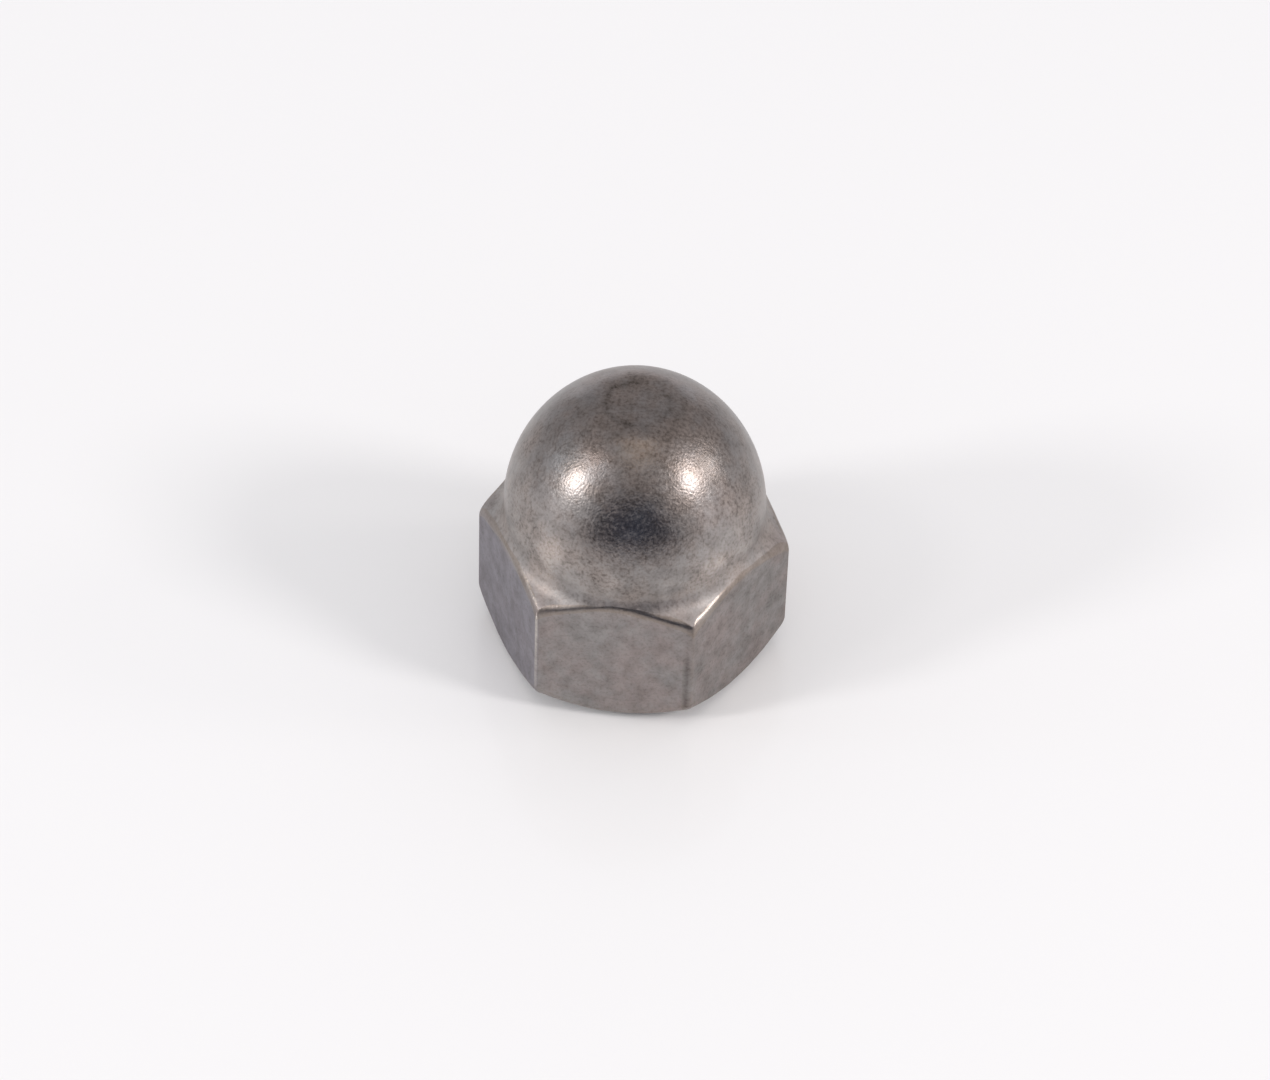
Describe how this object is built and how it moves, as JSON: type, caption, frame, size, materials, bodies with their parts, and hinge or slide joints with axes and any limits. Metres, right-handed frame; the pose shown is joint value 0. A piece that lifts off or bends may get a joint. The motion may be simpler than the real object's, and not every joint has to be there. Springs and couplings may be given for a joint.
{
  "type": "cap nut",
  "caption": "Domed hexagon cap nut in satin stainless steel, with a blind tapped hole that covers and protects the end of a bolt.",
  "frame": {"origin": "centre of the bearing face, which is where the thread's axis leaves the nut", "axes": "+Z along the thread's axis towards the crown of the dome; two of the six flats face -Y and +Y, and two corners lie on -X and +X"},
  "size_m": [0.0184, 0.016, 0.018],
  "materials": {
    "stainless_steel": "tumbled satin stainless steel, warm grey with a fine grain"
  },
  "bodies": {
    "root": {"cap_nut": "stainless_steel"}
  },
  "joints": []
}
